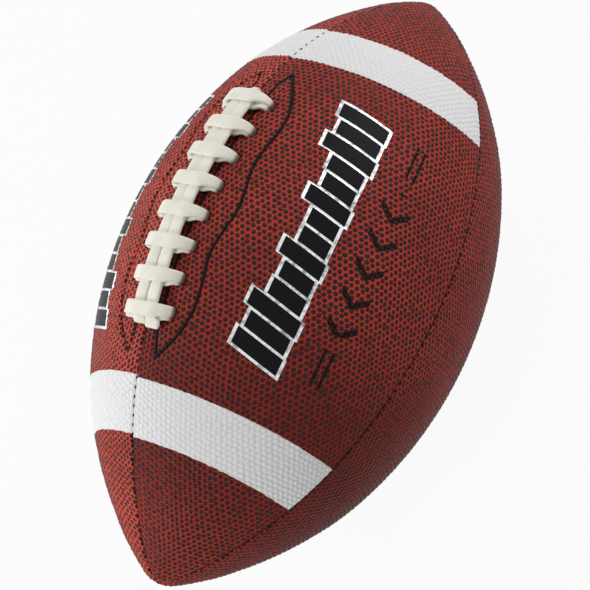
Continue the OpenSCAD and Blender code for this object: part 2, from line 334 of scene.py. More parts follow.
def grain_field(flat_u, flat_v, seed):
    """Distance to the nearest grain's centre and border, and a random trait of that grain."""
    rng = np.random.default_rng(seed)
    tilt = rng.uniform(0, math.pi)
    waves = rng.uniform(0, 2 * math.pi, 6)
    u = flat_u + 1.3 * np.sin(flat_v / 15.5 + waves[0]) + 0.5 * np.sin(flat_u / 8.1 + waves[1])
    v = flat_v + 1.3 * np.sin(flat_u / 17.7 + waves[2]) + 0.5 * np.sin(flat_v / 7.3 + waves[3])
    p = (u * math.cos(tilt) - v * math.sin(tilt)) / GRAIN_PITCH
    q = (u * math.sin(tilt) + v * math.cos(tilt)) / GRAIN_PITCH
    size = 256
    shift = rng.normal(0, 0.07, (size, size, 2)).clip(-0.15, 0.15)
    trait = rng.uniform(-1, 1, (size, size))
    row_h = math.sqrt(3) / 2
    row0 = np.round(q / row_h).astype(int)
    col0 = np.round(p - 0.5 * (row0 % 2)).astype(int)
    centres, traits = [], []
    for d_row in range(-2, 3):
        for d_col in range(-2, 3):
            row, col = row0 + d_row, col0 + d_col
            moved = shift[row % size, col % size]
            centres.append(np.stack([
                col + 0.5 * (row % 2) + moved[:, 0],
                row * row_h + moved[:, 1],
            ], axis=-1))
            traits.append(trait[row % size, col % size])
    centres, traits = np.array(centres), np.array(traits)
    here = np.stack([p, q], axis=-1)
    squares = ((centres - here) ** 2).sum(axis=-1)
    nearest = squares.argmin(axis=0)
    pick = (nearest, np.arange(len(p)))
    first, first_square = centres[pick], squares[pick]
    spacing = np.sqrt(((centres - first) ** 2).sum(axis=-1))
    with np.errstate(divide="ignore", invalid="ignore"):
        border = (squares - first_square) / (2 * spacing)
    border[pick] = np.inf
    return np.sqrt(first_square) * GRAIN_PITCH, border.min(axis=0) * GRAIN_PITCH, traits[pick]


print("grains", GRAIN_PITCH, "mm apart,", round(GRAIN_PITCH / NET_STEP, 1), "triangles across each")


def smooth(value, low, high):
    """A smooth step from 0 at low to 1 at high."""
    share = np.clip((value - low) / (high - low), 0, 1)
    return share * share * (3 - 2 * share)


# %% [markdown]
# ## Where the details lie
#
# The same few sizes as in the CAD place the stripes, the lace holes and the leaf of stitching.
# The leaf has three shallow lobes on its outer edge, read off the photograph, and a nearly
# straight row of stitches beside the lace. One smooth curve runs through each list of points.

# %% Sizes shared with the CAD, in millimetres
STRIPE_FROM, STRIPE_TO = 73.5, 94.2
BAR_COUNT, BAR_PITCH, LACING_SHIFT = 8, 13.4, -2.2
LACING_HALF = (BAR_COUNT - 1) * BAR_PITCH / 2
HOLE_OFFSET = 13.5
LACE_W, LACE_T = 5.9, 1.55
LEAF_OUTER = [
    (-65.3, 7.9), (-60.5, 12.2), (-53, 17.2), (-44, 20.2), (-34, 20.4), (-22, 19.4), (-12, 21.2),
    (-3, 23.1), (6, 22.4), (15, 20.6), (24, 20.6), (34, 21.6), (43, 20.9), (51, 17.6),
    (57.5, 13.2), (63.4, 8.9),
]
LEAF_INNER = [(63.4, 8.9), (59.5, 6.9), (52, 5.9), (0, 5.8), (-52, 6.1), (-60, 6.9), (-65.3, 7.9)]
BAR_X = [LACING_SHIFT - LACING_HALF + i * BAR_PITCH for i in range(BAR_COUNT)]


def smooth_curve(knots, count):
    """A curve of cubic pieces through all the knots, as a given count of points."""
    knots = np.array(knots, dtype=float)
    padded = np.vstack([2 * knots[0] - knots[1], knots, 2 * knots[-1] - knots[-2]])
    out = []
    for share in np.linspace(0, len(knots) - 1 - 1e-9, count):
        i, t = int(share), share - int(share)
        a, b, c, d = padded[i:i + 4]
        square, cube = 2 * a - 5 * b + 4 * c - d, 3 * b - a - 3 * c + d
        out.append(0.5 * (2 * b + (c - a) * t + square * t * t + cube * t ** 3))
    return np.array(out)


LEAF_PATH = np.vstack([smooth_curve(LEAF_OUTER, 76), smooth_curve(LEAF_INNER, 40)[1:]])
ALONG_TABLE = np.linspace(0, ARC_ENDS[-1], 2000)
AHEAD_TABLE = side_view(ALONG_TABLE)[1]


def along_at(ahead):
    """Arc length at a distance along the long axis."""
    return np.sign(ahead) * np.interp(np.abs(ahead), AHEAD_TABLE, ALONG_TABLE)


def distance_to_path(x, y, path):
    """Distance of each point x, y to the nearest leg of the path."""
    nearest = np.full(len(x), np.inf)
    for start, end in zip(path[:-1], path[1:]):
        step = end - start
        square = max(step @ step, 1e-9)
        from_x, from_y = x - start[0], y - start[1]
        share = np.clip((from_x * step[0] + from_y * step[1]) / square, 0, 1)
        away = np.hypot(from_x - share * step[0], from_y - share * step[1])
        nearest = np.minimum(nearest, away)
    return nearest


print("leaf path:", len(LEAF_PATH), "points; crossbars at", [round(x, 1) for x in BAR_X])

# %% [markdown]
# ## Print on the lace panels
#
# Each lace panel carries a printed band: slanted black bars of stepped length, pressed into a
# bright foil, and beside them a row of flat chevrons between two pairs of rules. They could be
# loose pieces on the cover, but ink has no edge of its own. The formulas below take arrays or
# shader sockets alike, so the relief and the colour agree.

# %% Distance fields of the print, positive inside, in millimetres
BAR_STEP, PRINT_BARS, PRINT_SLANT, BAR_HALF_GAP = 8.0, 14, 0.22, 0.62
SLANT_COS = 0.977
ROW_MIDDLE, CHEVRON_STEP, RULES_AT = 21.4, 13.0, 47.0


def least(first, second):
    """The lesser of two, by arithmetic alone, which a shader socket can follow."""
    return (first + second - abs(first - second)) * 0.5


def print_field(u, v):
    """The large bars and their foil. u runs along the panel and v across it, away from the lace."""
    slant, end = u + v * PRINT_SLANT, BAR_STEP * PRINT_BARS / 2
    held = least(slant, end - 0.01) * -1.0
    held = least(held, end - 0.01) * -1.0
    bar = held - held % BAR_STEP + BAR_STEP / 2
    in_bar = slant - bar
    longer = bar * bar * 0.0024 - abs(bar % 24.0 - 12.0) * 0.55
    middle = 4.0 + longer * 0.35
    span = 9.3 + longer * 0.65 - abs(v + middle)
    foil = least(end + 0.6 - abs(slant), span + 1.4)
    black = least(BAR_STEP / 2 - BAR_HALF_GAP - abs(in_bar) * SLANT_COS, span)
    return black, foil


def rule_field(u, v):
    """The small row: chevrons in the middle and a pair of rules at each end."""
    from_row = abs(v - ROW_MIDDLE)
    arrow = abs((u - from_row * 0.75) % CHEVRON_STEP - CHEVRON_STEP / 2)
    chevrons = least(1.25 - arrow * 0.8, least(6.6 - from_row, CHEVRON_STEP * 2.5 - abs(u)))
    rules = least(0.65 - abs(from_row - 1.8), 8.0 - abs(abs(u) - RULES_AT))
    return least(chevrons * -1.0, rules * -1.0) * -1.0


# %% [markdown]
# ## The cover panels
#
# The relief is real geometry, because light skims over it at the edges of the ball. Grains rise
# from their borders as low domes, every panel rolls down into the furrow along its seams, the
# stitching pulls its own narrow groove, and the leather dips at the lace holes. What the finish
# needs to know, such as ink, stripe, print, thread and holes, is stored on the points for the
# shader to read.

# %% Relief of a panel, in millimetres
GRAIN_RISE, GRAIN_MEAN = 0.6, 0.8
FOOT_SHARE, FOOT_REACH, TOP_REACH = 0.55, 0.8, 1.45
INK_RADIUS, INK_MARGIN = 0.75, 0.28
SEAM_ROLL, SEAM_DEPTH = 1.1, 0.7
SKIN_DEPTH, SHOULDER_DEPTH = 0.2, 0.4
LEAF_GROOVE_DEPTH, LEAF_GROOVE_WIDTH = 0.5, 0.95
FILM_LIFT, FOIL_LIFT, PRINT_LIFT = 0.08, 0.26, 0.12
LEFT_PRINT_SHIFT, LEFT_STITCH_FADE, STRIPE_SHIFT = 7.5, 0.55, 0.5
# Strength of the painted shade towards the rear, on most panels and on the paler left one.
REAR_PAINTED_SHADE, PAINTED_LIT_REAR_SHADE = 0.55, 0.18
HOLE_SLACK_DEPTH, HOLE_SLACK_REACH, HOLE_DEPTH = 0.5, 1.6, 0.7
HOLE_HALF_WIDTH, HOLE_CORNER = 0.4, 0.9
# For each side: how far each hole lies ahead of its bar, how far in towards the lace, and half
# its length. On the right the lace has pulled its holes in.
HOLE_PLACE = {1: (0.9, 1.8, 1.2), -1: (0.0, 0.3, 1.6)}
VALVE_R, VALVE_DEPTH = 3.5, 2.6
LEFT_TURN, VALVE_TURN = math.radians(-45), math.radians(-135)
FAR_OFF, NO_PRINT = 9.0, -900.0


def skin(along):
    """How far the finished leather lies under the CAD's surface: most at the shoulders."""
    reach = np.abs(along)
    return SKIN_DEPTH + SHOULDER_DEPTH * smooth(reach, 78, 108) * (1 - smooth(reach, 128, 144))


def panel_fields(middle_turn, seed, laced):
    """Height and finish of one panel at every point of the net."""
    out, ahead, _ = side_view(NET_ALONG)
    across = NET_SHARE * (out * math.pi / 4 - SEAM_HALF_GAP)
    turn = middle_turn + across / out
    to_seam = out * math.pi / 4 - np.abs(across)
    # Painted light: the left lace panel is marked so that its ground takes lighter colours.
    pale = middle_turn == LEFT_TURN
    u, v = flattened(NET_ALONG, across)
    to_centre, to_border, trait = grain_field(u, v, seed)

    foot = 1 - (1 - np.clip(to_border / FOOT_REACH, 0, 1)) ** 2
    top = 1 - np.clip(to_centre / TOP_REACH, 0, 1) ** 2
    rise = FOOT_SHARE * foot + (1 - FOOT_SHARE) * top
    rise = rise * (1 + 0.12 * trait) * smooth(to_seam, 0.1, 1.0)
    # Painted shade: the ground darkens towards the rear shoulder and fades again near the tip.
    shaded = smooth(-ahead, 15, 75) * (1 - 0.7 * smooth(-ahead, 98, 128))
    fields = {
        "ink": np.minimum(INK_RADIUS + 0.09 * trait - to_centre, to_border - INK_MARGIN),
        "valley": np.clip(to_border, 0, 2),
        "shade": shaded * (PAINTED_LIT_REAR_SHADE if pale else REAR_PAINTED_SHADE),
    }
    for key, value in {
        "stripe": -FAR_OFF, "flat_u": NO_PRINT, "flat_v": NO_PRINT,
        "hole": FAR_OFF, "stitch": FAR_OFF, "pale": float(pale),
    }.items():
        fields[key] = np.full(len(ahead), value)
    lift = -skin(NET_ALONG)
    furrow = SEAM_DEPTH
    if laced:
        side = -1 if middle_turn < 0 else 1
        placed = np.abs(ahead + side * STRIPE_SHIFT)
        fields["stripe"] = np.minimum(placed - STRIPE_FROM, STRIPE_TO - placed)
        fields["stripe"] += 0.12 * trait * smooth(to_border, 0, 0.6)
        film = smooth(fields["stripe"], -0.1, 0.3)
        fields["flat_u"] = u * side
        fields["flat_v"] = v * side + (LEFT_PRINT_SHIFT if side < 0 else 0)
        black, foil = print_field(fields["flat_u"], fields["flat_v"])
        pressed = smooth(foil, -0.4, 0.3)
        rise = rise * (1 - 0.1 * film) * (1 - 0.93 * pressed)
        lift += FILM_LIFT * film + FOIL_LIFT * pressed + PRINT_LIFT * smooth(black, -0.3, 0.3)
        furrow = SEAM_DEPTH * (1 - 0.45 * film)
        sideways = np.abs(out * np.sin(turn))
        near = (sideways < 34) & (np.abs(ahead) < 80)
        distance = np.full(len(ahead), FAR_OFF)
        distance[near] = distance_to_path(ahead[near], sideways[near], LEAF_PATH)
        fields["stitch"] = np.clip(distance, 0, FAR_OFF)
        fields["stitch"] += LEFT_STITCH_FADE if side < 0 else 0
        rise *= smooth(distance, 0.3, 1.0)
        lift -= LEAF_GROOVE_DEPTH * np.exp(-((distance / LEAF_GROOVE_WIDTH) ** 2))
        ahead_of_bar, pulled_in, half_length = HOLE_PLACE[side]
        for x in BAR_X:
            past = np.abs(ahead - x - ahead_of_bar) - half_length
            beside = np.abs(sideways - HOLE_OFFSET + pulled_in) - HOLE_HALF_WIDTH
            hole = np.hypot(np.maximum(past, 0), np.maximum(beside, 0)) - HOLE_CORNER
            hole += np.minimum(np.maximum(past, beside), 0)
            fields["hole"] = np.minimum(fields["hole"], hole)
        hole = fields["hole"]
        lift -= HOLE_SLACK_DEPTH * np.exp(-((np.maximum(hole, 0) / HOLE_SLACK_REACH) ** 2))
        lift -= HOLE_DEPTH * smooth(-hole, -0.15, 0.45)
        rise *= smooth(hole, 0.0, 0.8)
    if middle_turn == VALVE_TURN:
        valve = np.hypot(NET_ALONG, across) - VALVE_R
        fields["hole"] = valve
        lift -= VALVE_DEPTH * smooth(-valve, -0.1, 0.35)
        lift -= 0.3 * np.exp(-((np.maximum(valve, 0) / 1.5) ** 2))
        rise *= smooth(valve, 0.2, 1.4)
    roll = np.clip(1 - to_seam / SEAM_ROLL, 0, 1)
    lift -= furrow * (1 - np.sqrt(1 - roll ** 2))
    return turn, lift + GRAIN_RISE * (rise - GRAIN_MEAN), fields, (u, v)


print("leather", SKIN_DEPTH, "to", round(SKIN_DEPTH + SHOULDER_DEPTH, 1), "mm under the solids")

# %% Two halves of a panel
TURNED_IN, BAKE_SPAN = 2.2, 165


def build_mesh(name, points, faces, material):
    """A smooth-shaded piece of the ball from points in millimetres and a list of faces."""
    mesh = bpy.data.meshes.new(name)
    mesh.from_pydata((points * MM).tolist(), [], faces)
    mesh.validate()
    mesh.polygons.foreach_set("use_smooth", [True] * len(mesh.polygons))
    mesh.materials.append(material)
    piece = bpy.data.objects.new(name, mesh)
    bpy.context.scene.collection.objects.link(piece)
    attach(piece, "root")
    return piece


def cover_panel(name, middle_turn, seed, laced, material):
    """The rear and front halves of one panel, with its seam edges turned in."""
    turn, lift, fields, flat = panel_fields(middle_turn, seed, laced)
    points = on_ball(NET_ALONG, turn, lift)
    faces = NET_TRIANGLES
    for rim, inward in zip(NET_RIMS, (1, -1)):
        edge = on_ball(NET_ALONG[rim], turn[rim], -TURNED_IN)
        first = len(points)
        points = np.vstack([points, edge])
        a, b = rim[:-1], rim[1:]
        c = first + np.arange(len(rim) - 1)
        d = c + 1
        quads = np.stack([a, c, d, b] if inward > 0 else [a, b, d, c], axis=-1)
        faces = np.vstack([faces, quads[:, [0, 1, 2]], quads[:, [0, 2, 3]]])
        flat = tuple(np.concatenate([side, side[rim]]) for side in flat)
        fields = {key: np.concatenate([value, value[rim]]) for key, value in fields.items()}
    a, b, c = (points[faces[:, corner]] for corner in range(3))
    normals = np.zeros_like(points)
    for corner in range(3):
        np.add.at(normals, faces[:, corner], np.cross(b - a, c - a))
    normals /= np.maximum(np.linalg.norm(normals, axis=1), 1e-12)[:, None]
    split_x = points[NET_TRIANGLES[NET_HALFWAY]][:, 0].min()
    in_front = points[faces].mean(axis=1)[:, 0] > split_x
    in_front[:len(NET_TRIANGLES)] = np.arange(len(NET_TRIANGLES)) >= NET_HALFWAY
    return [
        half_panel(name + end, faces[chosen], points, normals, fields, flat, material)
        for end, chosen in (("_rear", ~in_front), ("_front", in_front))
    ]


def half_panel(name, faces, points, normals, fields, flat, material):
    """One half with its own points. The normals come from the whole panel, so no join shows."""
    used, faces = np.unique(faces, return_inverse=True)
    faces = faces.reshape(-1, 3)
    piece = build_mesh(name, points[used], faces.tolist(), material)
    mesh = piece.data
    mesh.normals_split_custom_set_from_vertices(normals[used].tolist())
    for key, value in fields.items():
        layer = mesh.attributes.new(key, "FLOAT", "POINT")
        layer.data.foreach_set("value", value[used].astype(np.float32))
    corner = np.empty(len(mesh.loops), dtype=np.int32)
    mesh.loops.foreach_get("vertex_index", corner)
    u, v = flat[0][used], flat[1][used]
    middle = (u.min() + u.max()) / 2
    spread = np.stack([(u - middle) / BAKE_SPAN + 0.5, v / BAKE_SPAN + 0.5], axis=-1)
    layer = mesh.uv_layers.new(name="OFBake")
    layer.data.foreach_set("uv", spread[corner].astype(np.float32).ravel())
    return piece


# %% [markdown]
# ## The cover's finish
#
# The real cover is a red-brown composite with a soft satin face. Its grain tops are inked almost
# black, the ink is smoother than the ground, and the stripes and the print lie over the grain
# as films. The shader reads the distances stored on the points, so each border stays crisp.
# The left lace panel is painted paler as painted light, and the red is darkened towards the
# rear as painted shade.

# %% Cover material
# The dark ground colour serves both a random darker tone and painted shade.
GROUND_DARK_TONE_AND_SHADE = rgb(0.12, 0.01, 0.008)
GROUND = rgb(0.36, 0.034, 0.024)
# The lightest ground colour is a painted highlight along the grain borders.
GROUND_PAINTED_HIGHLIGHT = rgb(0.54, 0.082, 0.055)
# Painted light: lighter copies of the ground colours for the left lace panel.
PAINTED_LIT_DARK_TONE_AND_SHADE = rgb(0.2, 0.018, 0.013)
PAINTED_LIT_GROUND = rgb(0.55, 0.056, 0.038)
PAINTED_LIT_HIGHLIGHT = rgb(0.8, 0.13, 0.085)
INK = rgb(0.004, 0.004, 0.005)
FILM_WHITE = rgb(0.86, 0.86, 0.86)
PRINT_BLACK = rgb(0.008, 0.008, 0.01)


def cover_material():
    material, start, shader, place = new_material("pebbled_cover")
    fine = noise(start, place, 1400, 3)
    broad = noise(start, place, 28, 3)
    ink_edge = attribute(start, "ink") + (fine - 0.5) * 0.16
    inked = ink_edge.between(-0.07, 0.09)
    # Painted shade: a darker ring round each inked top, where the grain's flanks fall into shade.
    painted_flank_shade = ink_edge.between(-0.36, -0.08)
    # Painted highlight: lighter lines along the borders between grains.
    painted_border_highlight = attribute(start, "valley").between(0.36, 0.1)
    film = (attribute(start, "stripe") + (fine - 0.5) * 0.2).between(-0.06, 0.1)
    u, v = attribute(start, "flat_u"), attribute(start, "flat_v")
    black, foil = print_field(u, v)
    black, foil = black.between(-0.06, 0.06), foil.between(-0.06, 0.06)
    rule = (rule_field(u, v) + (fine - 0.5) * 0.2).between(-0.08, 0.08)
    hole = attribute(start, "hole").between(0.1, -0.5)
    stitch = attribute(start, "stitch").between(0.75, 0.3)

    # Painted light: on the left lace panel the ground uses its lighter copies.
    pale = attribute(start, "pale")
    dark = pale.mix(GROUND_DARK_TONE_AND_SHADE, PAINTED_LIT_DARK_TONE_AND_SHADE)
    ground = painted_border_highlight.mix(pale.mix(GROUND, PAINTED_LIT_GROUND), pale.mix(GROUND_PAINTED_HIGHLIGHT, PAINTED_LIT_HIGHLIGHT))
    ground = (painted_flank_shade * 0.75).mix(ground, dark)
    ground = (broad.between(0.4, 0.7) * 0.25).mix(ground, dark)
    # Painted shade: the stored rear shading darkens the ground.
    ground = attribute(start, "shade").mix(ground, dark)
    # Painted highlight: a grey glint painted on the centre of each inked top.
    painted_ink_glint = ink_edge.between(0.3, 0.75) * 0.6
    colour = inked.mix(ground, painted_ink_glint.mix(INK, rgb(0.045, 0.048, 0.056)))
    colour = (rule * 0.96).mix(colour, INK)
    white = (fine * 0.3).mix(FILM_WHITE, rgb(0.78, 0.78, 0.79))
    colour = film.mix(colour, white)
    # Painted reflection: dark and bright mottling on the foil.
    painted_foil_reflection = noise(start, place, 330, 5, 0.75).between(0.36, 0.56)
    silver = painted_foil_reflection.mix(rgb(0.28, 0.29, 0.31), rgb(0.84, 0.86, 0.86))
    colour = foil.mix(colour, silver)
    colour = black.mix(colour, PRINT_BLACK)
    colour = stitch.mix(colour, rgb(0.02, 0.012, 0.01))
    # Painted shade: the shallow dips of the lace holes and the valve are painted near black.
    colour = hole.mix(colour, rgb(0.01, 0.007, 0.006))

    shine = foil * (1 - black)
    rough = 0.6 - inked * 0.26 + (fine - 0.5) * 0.12
    rough = rough * (1 - film) + film * 0.55
    rough = rough * (1 - foil) + black * 0.42 + shine * 0.32
    glaze = inked * (1 - film) * (1 - foil) * (1 - black) * 0.25
    normal = bump(start, fine, 1.0, 0.00003)
    feed(start, shader, Base_Color=colour, Roughness=rough, Metallic=shine * 0.55)
    feed(start, shader, Coat_Weight=glaze, Normal=normal)
    shader.inputs["Specular IOR Level"].default_value = 0.06
    shader.inputs["Coat Roughness"].default_value = 0.22
    return material


COVER = cover_material()
print("cover finish:", len(COVER.node_tree.nodes), "shader nodes")

# %% The four panels
for name, degrees, seed, laced in (
    ("lace_right", 45, 11, True),
    ("lace_left", -45, 12, True),
    ("back_right", 135, 13, False),
    ("back_left", -135, 14, False),
):
    for piece in cover_panel("cover_" + name, math.radians(degrees), seed, laced, COVER):
        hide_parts("panel_" + name)
        if laced:
            end, side = piece.name.split("_")[-1], name.split("_")[1]
            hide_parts("stripe_%s_%s" % (end, side))
        print(piece.name, len(piece.data.polygons), "triangles")

# %% [markdown]
# ## Stitching
#
# Two kinds of thread show. The leaf beside each row of lace holes is a close row of short thick
# stitches that sink into the cover. Along the seams the thread lies deep in the furrow and shows
# only as small dark dots. A dark line painted on the cover would do from afar, but not at the
# edges of the ball, so each row is one mesh of short, slightly swollen cords.

# %% One stitch, and a row of them
STITCH_SEGMENTS, STITCH_RINGS = 8, 7


def stitch_shape():
    """One stitch of length 1, width 1 and height 1 about its own middle."""
    points = []
    for ring in range(STITCH_RINGS + 1):
        share = ring / STITCH_RINGS
        reach = -0.5 * math.cos(math.pi * share)
        girth = 0.5 * (1 - abs(2 * share - 1) ** 3.2) ** 0.5
        for segment in range(STITCH_SEGMENTS):
            angle = 2 * math.pi * segment / STITCH_SEGMENTS
            points.append((reach, girth * math.cos(angle), girth * math.sin(angle)))
    faces = []
    for ring in range(STITCH_RINGS):
        for segment in range(STITCH_SEGMENTS):
            a = ring * STITCH_SEGMENTS + segment
            b = ring * STITCH_SEGMENTS + (segment + 1) % STITCH_SEGMENTS
            faces.append((a, b, b + STITCH_SEGMENTS, a + STITCH_SEGMENTS))
    return np.array(points), np.array(faces)


def stitch_row(name, path, outward, size, pitch, material, seed):
    """Stitches along a path of points, each turned to lie on the surface."""
    rng = np.random.default_rng(seed)
    steps = np.linalg.norm(np.diff(path, axis=0), axis=1)
    reach = np.concatenate([[0], np.cumsum(steps)])

    def at(place, values):
        return np.array([np.interp(place, reach, values[:, axis]) for axis in range(3)])

    count = max(1, int(round(reach[-1] / pitch)))
    shape, faces = stitch_shape()
    all_points, all_faces = [], []
    for i in range(count):
        middle = (i + 0.5) / count * reach[-1] + rng.normal(0, 0.04)
        ahead = at(middle + 0.5 * pitch, path) - at(middle - 0.5 * pitch, path)
        ahead /= np.linalg.norm(ahead)
        side = np.cross(at(middle, outward), ahead)
        side /= np.linalg.norm(side)
        up = np.cross(ahead, side)
        yaw = rng.normal(0, 0.17)
        turned_ahead = ahead * math.cos(yaw) + side * math.sin(yaw)
        turned_side = side * math.cos(yaw) - ahead * math.sin(yaw)
        basis = np.array([turned_ahead * size[0], turned_side * size[1], up * size[2]])
        all_faces.append(faces + len(shape) * i)
        all_points.append(shape @ (basis * rng.normal(1, 0.03)) + at(middle, path))
    return build_mesh(name, np.vstack(all_points), np.vstack(all_faces).tolist(), material)


# %% Thread
def thread_material():
    material, start, shader, place = new_material("waxed_thread")
    fibre = noise(start, place, 2600, 2)
    shade = noise(start, place, 240, 2)
    colour = shade.mix(rgb(0.002, 0.002, 0.002), rgb(0.01, 0.01, 0.011))
    normal = bump(start, fibre, 0.5, 0.00015)
    feed(start, shader, Base_Color=colour, Roughness=0.42 + fibre * 0.2, Normal=normal)
    shader.inputs["Specular IOR Level"].default_value = 0.12
    return material


THREAD = thread_material()
print("thread finish:", len(THREAD.node_tree.nodes), "shader nodes")

# %% The leaf on each side of the lace
def leaf_on_ball(side, lift):
    """The leaf's path on one side, and the outward way at each of its points."""
    x, sideways = LEAF_PATH[:, 0], LEAF_PATH[:, 1]
    along = along_at(x)
    turn = side * np.arcsin(sideways / side_view(along)[0])
    return on_ball(along, turn, lift), on_ball(along, turn, 1.0) - on_ball(along, turn, 0.0)


for side_name, side, lift, size, pitch in (
    ("right", 1, -0.72, (1.8, 1.2, 0.85), 1.8),
    ("left", -1, -0.82, (1.5, 0.85, 0.85), 2.8),
):
    path, outward = leaf_on_ball(side, lift)
    row = stitch_row("leaf_stitches_" + side_name, path, outward, size, pitch, THREAD, 30 + side)
    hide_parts("facing_stitch_" + side_name)
    print(row.name, len(row.data.polygons), "faces")

# %% The seams
SEAM_STITCH, SEAM_STITCH_PITCH, SEAM_STITCH_SINK = (1.2, 0.8, 0.7), 3.7, 0.42
SEAM_END = 150.0
for seam_name, degrees in (("top", 0), ("right", 90), ("bottom", 180), ("left", 270)):
    turn = math.radians(degrees)
    spans = [(-SEAM_END, SEAM_END)]
    if seam_name == "top":
        slot_end = LACING_HALF + LACE_W
        spans = [
            (along_at(LACING_SHIFT + slot_end), SEAM_END),
            (-SEAM_END, along_at(LACING_SHIFT - slot_end)),
        ]
    for index, (start_at, end_at) in enumerate(spans):
        along = np.linspace(start_at, end_at, 160)
        path = on_ball(along, turn, -SEAM_STITCH_SINK - skin(along))
        outward = on_ball(along, turn, 1.0) - on_ball(along, turn, 0.0)
        row = stitch_row(
            "seam_stitches_%s_%d" % (seam_name, index), path, outward,
            SEAM_STITCH, SEAM_STITCH_PITCH, THREAD, 40 + degrees + index)
        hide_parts("seam_thread_" + seam_name)
        print(row.name, len(row.data.polygons), "faces")

# %% [markdown]
# ## The lace
#
# The lace is one flat strip of soft PVC. Two strands of it lie side by side along the opening,
# and the crossbars pass over them and dive into the holes on each side. A strip is best made as
# a rounded section swept along a path: the section stays the same, and only the path, the width
# and the lean change, so the soft edges are the same everywhere.

# %% Sweep of a soft-edged strip
def strip_section(corner=0.6, per_corner=4):
    """Rounded rectangle of width 1 and thickness 1 at the strip's own proportions."""
    half_w, half_t = LACE_W / 2, LACE_T / 2
    points = []
    for sign_w, sign_t, first in ((1, 1, 0), (-1, 1, 90), (-1, -1, 180), (1, -1, 270)):
        for k in range(per_corner + 1):
            angle = math.radians(first + 90 * k / per_corner)
            points.append((
                sign_w * (half_w - corner) + corner * math.cos(angle),
                sign_t * (half_t - corner) + corner * math.sin(angle),
            ))
        if first in (0, 180):
            for share in np.linspace(0, 1, 7)[1:-1]:
                points.append((sign_w * (half_w - corner) * (1 - 2 * share), sign_t * half_t))
    return np.array(points) / [LACE_W, LACE_T]


SECTION = strip_section()


def sweep(path, width_way, up_way, widths, thicknesses, crown=0.0):
    """Rings of the section along the path, with both ends closed. crown swells the top."""
    rings = []
    for centre, wide, up, width, thick in zip(path, width_way, up_way, widths, thicknesses):
        swell = crown * (SECTION[:, 1] > 0) * (1 - 4 * SECTION[:, 0] ** 2)
        across = np.outer(SECTION[:, 0] * width, wide)
        rings.append(centre + across + np.outer(SECTION[:, 1] * thick + swell, up))
    size = len(SECTION)
    caps = [rings[0].mean(axis=0), rings[-1].mean(axis=0)]
    points = np.vstack(rings + caps)
    faces = []
    for ring in range(len(path) - 1):
        for k in range(size):
            a, b = ring * size + k, ring * size + (k + 1) % size
            faces.append((a, b, b + size, a + size))
    last = (len(path) - 1) * size
    for k in range(size):
        after = (k + 1) % size
        faces.append((len(points) - 2, after, k))
        faces.append((len(points) - 1, last + k, last + after))
    return points, faces


# %% Shape of a crossbar
ARCH = [
    (0, 4.2), (3.0, 4.2), (5.2, 4.1), (7.4, 3.6), (9.3, 2.6), (10.9, 1.2), (11.9, -0.5),
    (12.3, -2.4), (12.3, -4.8),
]
UNDER = [(0, 0.95), (4, 0.95), (8, 1.0), (10.0, 0.7), (11.2, -0.3), (11.8, -1.8), (11.9, -4.6)]
UNDER_W, UNDER_T = LACE_W * 0.94, 1.4
RIGHT_SHARE = 0.88
LEFTWARDS = np.array([0.0, 1.0, 0.0])


def top_of_ball(ahead):
    """The point on top of the ball at a distance along the axis, with its ways ahead and up."""
    place = along_at(ahead)
    lean = side_view(place)[2]
    way_ahead = np.array([math.cos(lean), 0, -math.sin(lean)])
    return on_ball(place, 0.0), way_ahead, np.array([math.sin(lean), 0, math.cos(lean)])


def unit_tangents(curve):
    tangent = np.gradient(curve, axis=0)
    return tangent / np.linalg.norm(tangent, axis=1)[:, None]


def crossbar(x, knots, thickness, width, rng, taper_right=1.0):
    """A strip across the lacing at one place. Knots give its height at each distance sideways."""
    base, ahead, up = top_of_ball(x)
    mirrored = [(-y, h) for y, h in knots[:0:-1]] + knots
    flat = smooth_curve(mirrored, 84)
    flat[:, 0] *= np.where(flat[:, 0] < 0, RIGHT_SHARE, 1.0)
    bend, twist = rng.normal(0, 0.15), rng.normal(0, 0.018)
    path, over, widths = [], [], []
    for (y, h), (ty, th) in zip(flat, unit_tangents(flat)):
        narrow = smooth(y, 8.8, 12.2) if y > 0 else smooth(-y, 5.5, 11)
        pinch = 1 - (1 - taper_right) * smooth(-y, 3, 12.5)
        swing = twist * y + bend * (y / 13) ** 2 + width * narrow * (-0.1 if y > 0 else 0.145)
        path.append(base + LEFTWARDS * y + up * h + ahead * swing)
        over.append(-th * LEFTWARDS + ty * up)
        widths.append(width * (1 - 0.28 * narrow) * pinch)
    count = len(path)
    return sweep(path, [ahead] * count, over, widths, [thickness] * count, crown=0.12)


# %% Soft PVC
def lace_material():
    material, start, shader, place = new_material("cream_lace")
    weave = noise(start, place, 1900, 2)
    mottled = noise(start, place, 160, 3)
    soiled = noise(start, place, 60, 2)
    dip = attribute(start, "dip")
    colour = mottled.between(0.35, 0.7).mix(rgb(0.87, 0.85, 0.76), rgb(0.82, 0.795, 0.69))
    colour = (soiled.between(0.55, 0.8) * 0.3).mix(colour, rgb(0.74, 0.70, 0.56))
    # Painted shade and dirt: the lace browns where it goes down into a hole.
    colour = (dip + (mottled - 0.5) * 0.3).between(0.3, 1.1).mix(colour, rgb(0.16, 0.1, 0.06))
    normal = bump(start, weave * 0.7 + mottled * 0.5, 0.55, 0.00016)
    feed(start, shader, Base_Color=colour, Roughness=0.5 + weave * 0.12, Normal=normal)
    shader.inputs["Subsurface Weight"].default_value = 0.08
    shader.inputs["Subsurface Radius"].default_value = (0.002, 0.0015, 0.001)
    return material


LACE = lace_material()
print("lace finish:", len(LACE.node_tree.nodes), "shader nodes")

